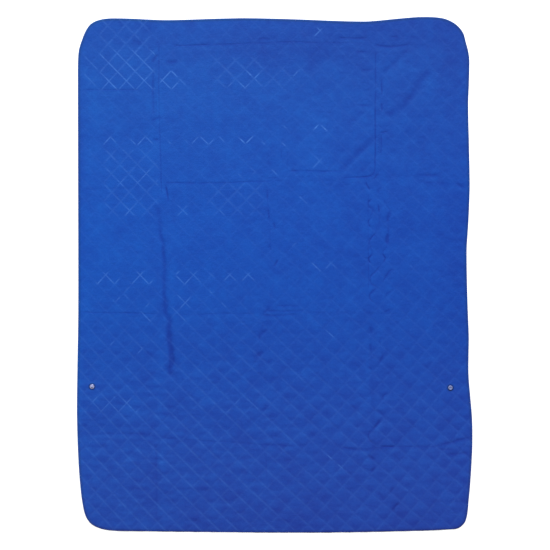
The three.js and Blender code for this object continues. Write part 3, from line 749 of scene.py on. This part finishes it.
def groundSide(flat, rim, seats):
    # a coarser grid, underLift * (1 - |sin(pi f) sin(pi r)|) high: each diamond's middle is on the ground
    x, y, on, _ = latticeGrid(sheet["underSteps"], sheet["recess"] + sheet["recessGap"])
    under = np.column_stack([x[on], y[on]])
    falling, rising = weldNumbers(*under.T)
    height = quilt["underLift"] * (1 - np.abs(np.sin(np.pi * falling) * np.sin(np.pi * rising)))
    points = np.vstack([flat, under])
    edges = np.vstack([chain(rim[-1])] + [chain(rings[0]) for rings in seats])
    members = np.concatenate([ringNumbers(len(flat), len(under)), np.unique(edges)])
    local = np.zeros(len(points), dtype=int)
    local[members] = np.arange(len(members))
    ground = members[fillBetween(points[members], local[edges])]
    clear = fromSnaps(*points[ground].mean(axis=1).T) > sheet["recess"]
    return points, height, ground[clear][:, ::-1]


def surfaceValues(flat, offset, weight, extra):
    # what the material reads at each point of the face, most of it where light and shade are painted, padded
    # for the extra points of the ground side
    x, y = flat.T
    falling, rising = glintField(x, y)
    band = np.exp(-((edgeDistance(x, y) - sheet["edgeInset"]) / sheet["edgeShade"]) ** 2)
    values = {
        "paintedTone": paintedToneField(x, y),
        "glintFalling": falling,
        "glintRising": rising,
        # painted shadow round each fastener, fading out beyond its seat
        "snapShadow": 1 - smoothStep((fromSnaps(x, y) - sheet["seat"]) / sheet["snapShadowReach"]),
        # painted shade along the edge
        "rim": band * (sheet["edgeLevel"] + sheet["edgeFacing"] * roundOutline(x, y, outlineOut @ leanWay)),
    }
    values = {key: np.pad(value, (0, extra)) for key, value in values.items()}
    for k in range(creaseShape["sets"]):
        values[f"creaseOffset{k}"] = np.pad(offset[k], (0, extra), constant_values=creaseShape["lineReach"])
        values[f"creaseWeight{k}"] = np.pad(weight[k], (0, extra))
    return values


def quiltedSheet():
    # points in this order: the face's grid, the rim's rings, the rings of each seat, the ground side
    x, y, on, reach = latticeGrid(sheet["stepsPerDiamond"], sheet["dish"] + sheet["dishGap"])
    kept, used, quads = gridQuads(on)
    grid = np.column_stack([x[used], y[used]])
    rimRings = [insetRing(inset) for inset, _ in sheet["rim"]]
    seatRings = [circle(place, radius) for place in snapPlaces for radius in seatRadii]
    flat = np.vstack([grid, *rimRings, *seatRings])
    rim = ringNumbers(len(grid), len(rimRings), len(outline))
    seats = ringNumbers(len(grid) + rim.size, len(snapPlaces), len(seatRadii), sheet["snapSteps"])

    strip = stripTriangles(flat, quads, kept, reach, rim, seats)
    bands = [ringBand(a, b) for rings in (rim, *seats) for a, b in zip(rings[:-1], rings[1:])]
    points, underHeight, ground = groundSide(flat, rim, seats)
    height, offset, weight = faceHeight(*flat.T)
    pressRings(height, rim, seats)
    solid = np.column_stack([points, np.concatenate([height, underHeight])])
    values = surfaceValues(flat, offset, weight, len(underHeight))
    faces = [quads, strip, *bands, ground]
    piece = meshFrom("quilted_sheet", solid, faces, np.column_stack(weldNumbers(*points.T)), values)
    addLean(piece.data)
    return piece


blanket = quiltedSheet()
print("sheet:", len(blanket.data.vertices), "points,", len(blanket.data.polygons), "faces")


# Press fasteners: profiles of radius and height, turned about an upright axis.
snap = {
    "segments": 64, "cornerSteps": 4, "cornerRound": 0.22,
    "cornerMost": 0.4,  # most share of a side that a rounded corner takes
    "studPolish": 1.0, "socketPolish": 0.0,
    "stud": [[0, 3.8], [2.5, 3.8], [2.5, 2.6], [7.0, 2.6], [7.5, 3.1], [7.0, 3.5], [4.1, 3.3], [2.75, 3.5],
             [3.1, 5.1], [2.2, 6.3], [0, 6.3]],
    "socket": [[2.5, 2.6], [7.0, 2.6], [7.5, 3.1], [7.0, 4.4], [6.0, 4.9], [3.8, 4.9], [3.3, 4.4], [3.3, 3.5],
               [2.5, 3.5]],
    "cap": [[0, 0], [6.15, 0], [6.5, 0.35], [6.5, 0.7], [2.2, 0.7], [2.2, 3.5], [0, 3.5]],
}


def roundedCorners(profile):
    # each corner becomes a short curve (1-t)^2 A + 2t(1-t) P + t^2 B between points A and B beside it
    profile = np.asarray(profile, dtype=float)
    meetsAxis = profile[0, 0] == 0
    beside = []
    for way in (1, -1):
        run = np.roll(profile, way, axis=0) - profile
        length = np.linalg.norm(run, axis=1)[:, None]
        beside.append(profile + run / length * np.minimum(snap["cornerRound"], length * snap["cornerMost"]))
    before, after = (points[:, None] for points in beside)
    t = np.linspace(0, 1, snap["cornerSteps"])[None, :, None]
    curved = (1 - t) ** 2 * before + 2 * t * (1 - t) * profile[:, None] + t**2 * after
    if meetsAxis:
        return np.vstack([profile[:1], curved[1:-1].reshape(-1, 2), profile[-1:]])
    return curved.reshape(-1, 2)


def turnedPiece(name, profile, place, polish):
    # point (radius, height) of the profile goes to (radius cos a, radius sin a, height) at each angle a
    profile = roundedCorners(profile)[::-1]  # from the top down, so that the faces point outwards
    meetsAxis = profile[0, 0] == 0
    ring = profile[1:-1] if meetsAxis else profile
    segments = snap["segments"]
    turn = fullTurn(segments)
    radius, height = ring[:, 0][:, None], ring[:, 1][:, None]
    points = np.stack(np.broadcast_arrays(
        place[0] + radius * np.cos(turn), place[1] + radius * np.sin(turn), height), axis=-1).reshape(-1, 3)
    numbers = ringNumbers(0, len(ring), segments)
    quads = [ringBand(a, b) for a, b in zip(numbers[:-1], numbers[1:])]
    values = np.repeat(ring[:, 0], segments)
    if meetsAxis:
        poles = [[*place, profile[0, 1]], [*place, profile[-1, 1]]]
        points = np.vstack([points, poles])
        values = np.concatenate([values, [0, 0]])
        first, last = np.full(segments, len(points) - 2), np.full(segments, len(points) - 1)
        quads.append(np.column_stack([first, numbers[0], np.roll(numbers[0], -1)]))
        quads.append(np.column_stack([numbers[-1], last, np.roll(numbers[-1], -1)]))
    else:
        quads.append(ringBand(numbers[-1], numbers[0]))
    return meshFrom(name, points, quads, None, {"fromAxis": values, "polish": np.full(len(values), polish)})


snapPieces = {
    "snap_stud": turnedPiece("stud", snap["stud"], snapPlaces[0], snap["studPolish"]),
    "snap_stud_cap": turnedPiece("stud_rear_cap", snap["cap"], snapPlaces[0], snap["studPolish"]),
    "snap_socket": turnedPiece("socket", snap["socket"], snapPlaces[1], snap["socketPolish"]),
    "snap_socket_cap": turnedPiece("socket_rear_cap", snap["cap"], snapPlaces[1], snap["socketPolish"]),
}
print("fasteners:", ", ".join(piece.name for piece in snapPieces.values()))


# Materials

def screenColour(red, green, blue):
    # 8-bit screen colour to the linear values that shaders use
    part = np.array([red, green, blue]) / 255
    linear = np.where(part <= 0.04045, part / 12.92, ((part + 0.055) / 1.055) ** 2.4)
    return (*linear.tolist(), 1.0)


def feed(tree, node, inputs):
    # each input is linked where its value is a socket, or else set
    for key, value in inputs.items():
        if isinstance(value, bpy.types.NodeSocket):
            tree.links.new(value, node.inputs[key])
        else:
            node.inputs[key].default_value = value


def put(tree, kind, inputs=None, **settings):
    made = tree.nodes.new(kind)
    for key, value in settings.items():
        setattr(made, key, value)
    feed(tree, made, inputs or {})
    return made


def calc(tree, operation, *values):
    # one Math node for the first two values, and one more for each value after them
    made = put(tree, "ShaderNodeMath", dict(enumerate(values[:2])), operation=operation).outputs[0]
    return calc(tree, operation, made, *values[2:]) if len(values) > 2 else made


def spread(tree, value, fromLow, fromHigh, toLow, toHigh, smooth=False):
    # value from one range to another, held at its ends
    return put(tree, "ShaderNodeMapRange", {
        "Value": value, "From Min": fromLow, "From Max": fromHigh, "To Min": toLow, "To Max": toHigh,
    }, interpolation_type="SMOOTHSTEP" if smooth else "LINEAR").outputs["Result"]


def darkened(tree, mask, dark):
    # 1 where the mask is 0, and 1 - dark where it is 1
    return spread(tree, mask, 0.0, 1.0, 1.0, 1.0 - dark)


def mixColour(tree, blend, factor, first, second):
    # a colour mix has its factor and colours on inputs 0, 6 and 7, and its colour on output 2
    inputs = {0: factor, 6: first, 7: second}
    return put(tree, "ShaderNodeMix", inputs, data_type="RGBA", blend_type=blend).outputs[2]


def newGroup(name, inputs, outputs):
    group = bpy.data.node_groups.new(name, "ShaderNodeTree")
    for label, kind in inputs.items():
        group.interface.new_socket(label, in_out="INPUT", socket_type=f"NodeSocket{kind}")
    for label in outputs:
        group.interface.new_socket(label, in_out="OUTPUT", socket_type="NodeSocketFloat")
    return group, group.nodes.new("NodeGroupInput").outputs, group.nodes.new("NodeGroupOutput").inputs


mottling = {"detail": 4.0, "roughness": 0.7, "from": (0.3, 0.7)}  # from is the noise's range that counts


def mottleGroup():
    # slow uneven value between Low and High
    group, given, out = newGroup(
        "mottle", {"Place": "Vector", "Scale": "Float", "Low": "Float", "High": "Float"}, ["Value"])
    noise = put(group, "ShaderNodeTexNoise", {
        "Vector": given["Place"], "Scale": given["Scale"],
        "Detail": mottling["detail"], "Roughness": mottling["roughness"]})
    value = spread(group, noise.outputs[0], *mottling["from"], given["Low"], given["High"])
    group.links.new(value, out["Value"])
    return group


# the weld lines and the painted highlight along them
weldGlint = {
    # millimetres off its middle where the line is full and where it ends, and its values there
    "line": (0.2, 3.3, 1.0, 0.0),
    "softer": (0.25, 0.45, 1.7, 1.0),  # a faint and a strong glint, and how much wider the line is there
    "stretches": 2.0,  # in each diamond, each with its own brightness
    "bright": (0.1, 0.9, 0.55, 1.0),
    # short dashes and slow fading: speed along the line, step from line to line, detail and range
    "dashes": (3.0, 7.3, 2.0, (0.32, 0.62, 0.65, 1.05)),
    "fading": (0.5, 3.7, 1.0, (0.36, 0.64, 0.7, 0.95)),
}


def weldGroup():
    # Line is 1 on the weld and fades beside it; Shine is that line where a stretch of weld catches the light,
    # which the cloth paints in as a pale highlight
    inputs = dict.fromkeys(("Across", "Along", "Pitch", "Glint"), "Float")
    group, given, out = newGroup("weldLine", inputs, ["Line", "Shine"])
    nearest = calc(group, "ROUND", given["Across"])
    away = calc(group, "ABSOLUTE", calc(group, "SUBTRACT", given["Across"], nearest))
    gap = calc(group, "MULTIPLY", away, given["Pitch"])
    stretch = put(group, "ShaderNodeCombineXYZ", {
        "X": nearest, "Y": calc(group, "FLOOR", calc(group, "MULTIPLY", given["Along"], weldGlint["stretches"]))})
    draw = put(group, "ShaderNodeTexWhiteNoise", {"Vector": stretch.outputs[0]}, noise_dimensions="2D")
    bright = spread(group, draw.outputs["Value"], *weldGlint["bright"])

    def alongLine(speed, step, detail, ranges):
        place = put(group, "ShaderNodeCombineXYZ", {
            "X": calc(group, "MULTIPLY", given["Along"], speed), "Y": calc(group, "MULTIPLY", nearest, step)})
        noise = put(group, "ShaderNodeTexNoise", {"Vector": place.outputs[0], "Scale": 1.0, "Detail": detail})
        return spread(group, noise.outputs[0], *ranges)

    broken = calc(group, "MULTIPLY", alongLine(*weldGlint["dashes"]), alongLine(*weldGlint["fading"]))
    whole = calc(group, "MAXIMUM", broken, given["Glint"])  # a bright stretch has no breaks
    softer = spread(group, given["Glint"], *weldGlint["softer"])
    glow = spread(group, calc(group, "DIVIDE", gap, softer), *weldGlint["line"], True)
    group.links.new(spread(group, gap, *weldGlint["line"], True), out["Line"])
    group.links.new(calc(group, "MULTIPLY", bright, given["Glint"], whole, glow), out["Shine"])
    return group


mottle, weldLine = mottleGroup(), weldGroup()


def useGroup(tree, group, inputs):
    return put(tree, "ShaderNodeGroup", inputs, node_tree=group).outputs


def attribute(tree, name):
    return put(tree, "ShaderNodeAttribute", attribute_name=name).outputs["Fac"]


def newMaterial(name):
    material = bpy.data.materials.new(name)
    material.use_nodes = True
    return material, material.node_tree, material.node_tree.nodes["Principled BSDF"]


cloth = {
    # the blue, from a little greener at the top to darker and more purple at the bottom
    "upper": screenColour(21, 66, 147),
    "middle": screenColour(17, 64, 151),
    "lower": screenColour(28, 60, 145),
    "upperFrom": (0.1, 0.8), "lowerFrom": (0.0, -0.8),  # metres along, from the middle colour to the full one
    # painted highlight: the pale blue that a shining weld shows, and how much of it is mixed in
    "weldGlint": screenColour(90, 145, 222),
    "paintedGlintShare": 0.42,
    # painted crease shade: how much the dark line along a crease takes off
    "paintedCreaseShade": 0.2,
    # painted shadow round the fasteners: how much it takes off at full strength
    "snapShadowDark": 0.55,
    # painted shade along the edge: how much it takes off the red, green and blue
    "edgeShadeDark": (0.0, 0.27, 0.44),
    # painted light and shade: how much the green rises on faces that lean towards the light and falls on
    # others
    "paintedLeanShade": 1.1,
    # painted shade: the cloth darker towards the right, as a light from the left leaves it
    "paintedSideShade": -0.088,  # for each metre to the right
    # patches for each metre across and along, and how much they vary
    "clouds": [((11.0, 8.0, 1.0), 0.052), ((28.0, 21.0, 1.0), 0.046)],
    "grain": [((24.0, 190.0, 1.0), 0.014), ((180.0, 30.0, 1.0), 0.012), ((110.0, 110.0, 1.0), 0.012),
              ((260.0, 260.0, 1.0), 0.025)],
    "grainPowers": (7.0, 2.2, 0.7),  # pale specks show most in the darkest colour, red
    "matt": {"Scale": 60.0, "Low": 0.62, "High": 0.74},
    "weldSmooth": 0.25,  # how much less rough a shining weld is
    "finish": {"Specular IOR Level": 0.08, "Sheen Weight": 0.075, "Sheen Roughness": 0.45,
               "Sheen Tint": screenColour(150, 185, 240)},
    "weaveScale": 520.0,  # one thread every 0.6 mm
    "crumpleScale": (80.0, 80.0, 1.0),
    "weaveHeight": 0.05, "crumpleHeight": 0.22, "weldDip": -0.08, "lineDip": -0.5,  # in millimetres
}


def stretched(tree, place, scale, low, high):
    # a mottle with its own number of patches for each metre across and along
    moved = put(tree, "ShaderNodeMapping", {"Vector": place, "Scale": scale}).outputs[0]
    return useGroup(tree, mottle, {"Place": moved, "Scale": 1.0, "Low": low, "High": high})["Value"]


def patched(tree, place, value, patches):
    # value times one mottle about 1 for each kind of patch
    return calc(tree, "MULTIPLY", value, *(
        stretched(tree, place, scale, 1.0 - part, 1.0 + part) for scale, part in patches))


def creaseFold(tree):
    # the painted shade line along a crease: weight * exp(-offset^2), with the offset in the line's half
    # widths
    fold = 0.0
    for k in range(creaseShape["sets"]):
        offset = attribute(tree, f"creaseOffset{k}")
        bell = calc(tree, "EXPONENT", calc(tree, "MULTIPLY", offset, offset, -1.0))
        fold = calc(tree, "MAXIMUM", calc(tree, "MULTIPLY", bell, attribute(tree, f"creaseWeight{k}")), fold)
    return fold


def weldLines(tree):
    # the line and the shine of both families together
    numbers = put(tree, "ShaderNodeUVMap", uv_map="quilt").outputs["UV"]
    f, r, _ = put(tree, "ShaderNodeSeparateXYZ", {"Vector": numbers}).outputs
    falling, rising = (
        useGroup(tree, weldLine, {
            "Across": across, "Along": along, "Pitch": family["pitch"], "Glint": attribute(tree, glint)})
        for across, along, family, glint in zip((f, r), (r, f), families, ("glintFalling", "glintRising"))
    )
    return [calc(tree, "MAXIMUM", falling[label], rising[label]) for label in ("Line", "Shine")]


def clothColour(tree, place, fold, shine):
    # clouds, the painted crease shade and grain are 1 where the cloth is even
    across, along, _ = put(tree, "ShaderNodeSeparateXYZ", {"Vector": place}).outputs
    # painted light and shade: the side shade and the painted tones of the broad places, in the clouds
    side = calc(tree, "MULTIPLY", across, cloth["paintedSideShade"])
    clouds = patched(tree, place, calc(tree, "ADD", attribute(tree, "paintedTone"), 1.0, side), cloth["clouds"])
    creaseShaded = darkened(tree, fold, cloth["paintedCreaseShade"])
    shade = calc(tree, "MULTIPLY", clouds, creaseShaded)
    grain = patched(tree, place, 1.0, cloth["grain"])
    # painted shadow round the fasteners
    snapShadowed = darkened(tree, attribute(tree, "snapShadow"), cloth["snapShadowDark"])

    # painted light and shade: where the shade falls or the face leans away from the light, the green falls
    # twice as fast as the red and blue, and it rises where the face leans towards it; the clouds leave the
    # red alone
    paintedLeanShade = calc(tree, "ADD", calc(tree, "MULTIPLY", attribute(tree, "leanToLight"), cloth["paintedLeanShade"]), 1.0)
    green = calc(tree, "MULTIPLY", shade, shade, paintedLeanShade)
    rim = attribute(tree, "rim")
    parts = {}
    for label, part, dark, power in zip(
            ("Red", "Green", "Blue"), (creaseShaded, green, shade), cloth["edgeShadeDark"], cloth["grainPowers"]):
        specks = calc(tree, "POWER", grain, power)
        parts[label] = calc(tree, "MULTIPLY", part, specks, snapShadowed, darkened(tree, rim, dark))
    shadeColour = put(tree, "ShaderNodeCombineColor", parts).outputs[0]
    above = spread(tree, along, *cloth["upperFrom"], 0.0, 1.0, True)
    below = spread(tree, along, *cloth["lowerFrom"], 0.0, 1.0, True)
    upperHalf = mixColour(tree, "MIX", above, cloth["middle"], cloth["upper"])
    alongColour = mixColour(tree, "MIX", below, upperHalf, cloth["lower"])
    toned = mixColour(tree, "MULTIPLY", 1.0, alongColour, shadeColour)
    # painted highlight: the pale weld colour mixed in where a weld shines
    return mixColour(tree, "MIX", calc(tree, "MULTIPLY", shine, cloth["paintedGlintShare"]), toned, cloth["weldGlint"])


def clothRelief(tree, place, fold, line):
    # the sum of threads, small crumples, pressed welds and crease lines
    threads = [
        put(tree, "ShaderNodeTexWave", {"Vector": place, "Scale": cloth["weaveScale"]}, bands_direction=way)
        for way in ("X", "Y")
    ]
    weave = calc(tree, "MULTIPLY", threads[0].outputs[1], threads[1].outputs[1], cloth["weaveHeight"])
    crumple = stretched(tree, place, cloth["crumpleScale"], -cloth["crumpleHeight"], cloth["crumpleHeight"])
    pressedLine = calc(tree, "MULTIPLY", line, cloth["weldDip"])
    return calc(tree, "ADD", weave, crumple, pressedLine, calc(tree, "MULTIPLY", fold, cloth["lineDip"]))


def bumped(tree, height, distance, strength):
    inputs = {"Height": height, "Distance": distance, "Strength": strength}
    return put(tree, "ShaderNodeBump", inputs).outputs[0]


def clothMaterial():
    material, tree, shader = newMaterial("blue_taffeta")
    place = put(tree, "ShaderNodeTexCoord").outputs["Object"]
    fold = creaseFold(tree)
    line, shine = weldLines(tree)
    matt = useGroup(tree, mottle, {"Place": place, **cloth["matt"]})["Value"]
    feed(tree, shader, {
        "Base Color": clothColour(tree, place, fold, shine),
        "Roughness": calc(tree, "SUBTRACT", matt, calc(tree, "MULTIPLY", shine, cloth["weldSmooth"])),
        "Normal": bumped(tree, clothRelief(tree, place, fold, line), mm, 1.0),
        **cloth["finish"],
    })
    return material


metal = {
    # bright and dull: a pale silver tinted blue, a painted reflection of the blue cloth round the fasteners
    "bright": screenColour(170, 175, 217),
    "dull": screenColour(120, 130, 174),
    "worn": {"Scale": 420.0, "Low": -0.3, "High": 0.0},
    "metallic": 0.55,
    "rough": {"Scale": 900.0, "Low": 0.55, "High": 0.7},
    "smoother": 0.22,  # how much less rough the polished stud is
    "rings": 30.0, "ringHeight": 0.01, "ringStrength": 0.6,  # fine rings left by turning the die
}


def metalMaterial():
    material, tree, shader = newMaterial("nickel_plate")
    place = put(tree, "ShaderNodeTexCoord").outputs["Object"]
    polish = attribute(tree, "polish")
    worn = useGroup(tree, mottle, {"Place": place, **metal["worn"]})["Value"]
    rough = useGroup(tree, mottle, {"Place": place, **metal["rough"]})["Value"]
    # the rings are a wave on the distance from the axis
    rings = calc(tree, "SINE", calc(tree, "MULTIPLY", attribute(tree, "fromAxis"), metal["rings"]))
    feed(tree, shader, {
        "Base Color": mixColour(tree, "MIX", calc(tree, "ADD", polish, worn), metal["dull"], metal["bright"]),
        "Metallic": metal["metallic"],
        "Roughness": calc(tree, "SUBTRACT", rough, calc(tree, "MULTIPLY", polish, metal["smoother"])),
        "Normal": bumped(tree, rings, metal["ringHeight"] * mm, metal["ringStrength"]),
    })
    return material


blanket.data.materials.append(clothMaterial())
nickel = metalMaterial()
for piece in snapPieces.values():
    piece.data.materials.append(nickel)
print("materials:", ", ".join(material.name for material in bpy.data.materials if material.users))


# What each piece rides on and stands for
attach(blanket, "root")
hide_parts("quilted_panel")
for node, piece in snapPieces.items():
    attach(piece, "root")
    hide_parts(node)


# Floor, light and camera
studio = {
    "floorHalf": 9000.0, "floorDrop": 0.1,
    "floorFinish": {"Base Color": (0.93, 0.93, 0.93, 1.0), "Roughness": 0.8, "Specular IOR Level": 0.1},
    "world": {"Color": (1.0, 1.0, 1.0, 1.0), "Strength": 0.30},
    "key": {"place": (-0.3, 9.36, 6.4), "size": 5.0, "power": 2500.0},
    "fill": {"place": (2.6, -3.2, 3.6), "size": 3.0, "power": 30.0},
    "lens": 85.0, "sensor": 36.0,
    "viewWidth": 1.8225, "aim": (0.0010, -0.0010),
}


def studioFloor():
    half, level = studio["floorHalf"], -studio["floorDrop"]
    corners = [[-half, -half, level], [half, -half, level], [half, half, level], [-half, half, level]]
    floor = meshFrom("floor", corners, [np.array([[0, 1, 2, 3]])])
    material, tree, shader = newMaterial("pale_floor")
    feed(tree, shader, studio["floorFinish"])
    floor.data.materials.append(material)


def softLight(name):
    light = bpy.data.lights.new(name, "AREA")
    light.shape = "DISK"
    light.size = studio[name]["size"]
    light.energy = studio[name]["power"]
    lamp = addObject(name, light)
    lamp.location = studio[name]["place"]
    lamp.rotation_mode = "QUATERNION"
    lamp.rotation_quaternion = (-Vector(studio[name]["place"])).to_track_quat("-Z", "Y")


studioFloor()
softLight("key")
softLight("fill")
world = bpy.data.worlds.new("studio")
world.use_nodes = True
feed(world.node_tree, world.node_tree.nodes["Background"], studio["world"])
bpy.context.scene.world = world
bpy.context.scene.view_settings.view_transform = "Standard"

cameraData = bpy.data.cameras.new("camera")
cameraData.lens = studio["lens"]
cameraData.sensor_width = studio["sensor"]
camera = addObject("camera", cameraData)
camera.location = (*studio["aim"], studio["viewWidth"] * studio["lens"] / studio["sensor"])
bpy.context.scene.camera = camera
print("studio: floor, two lights and the camera")
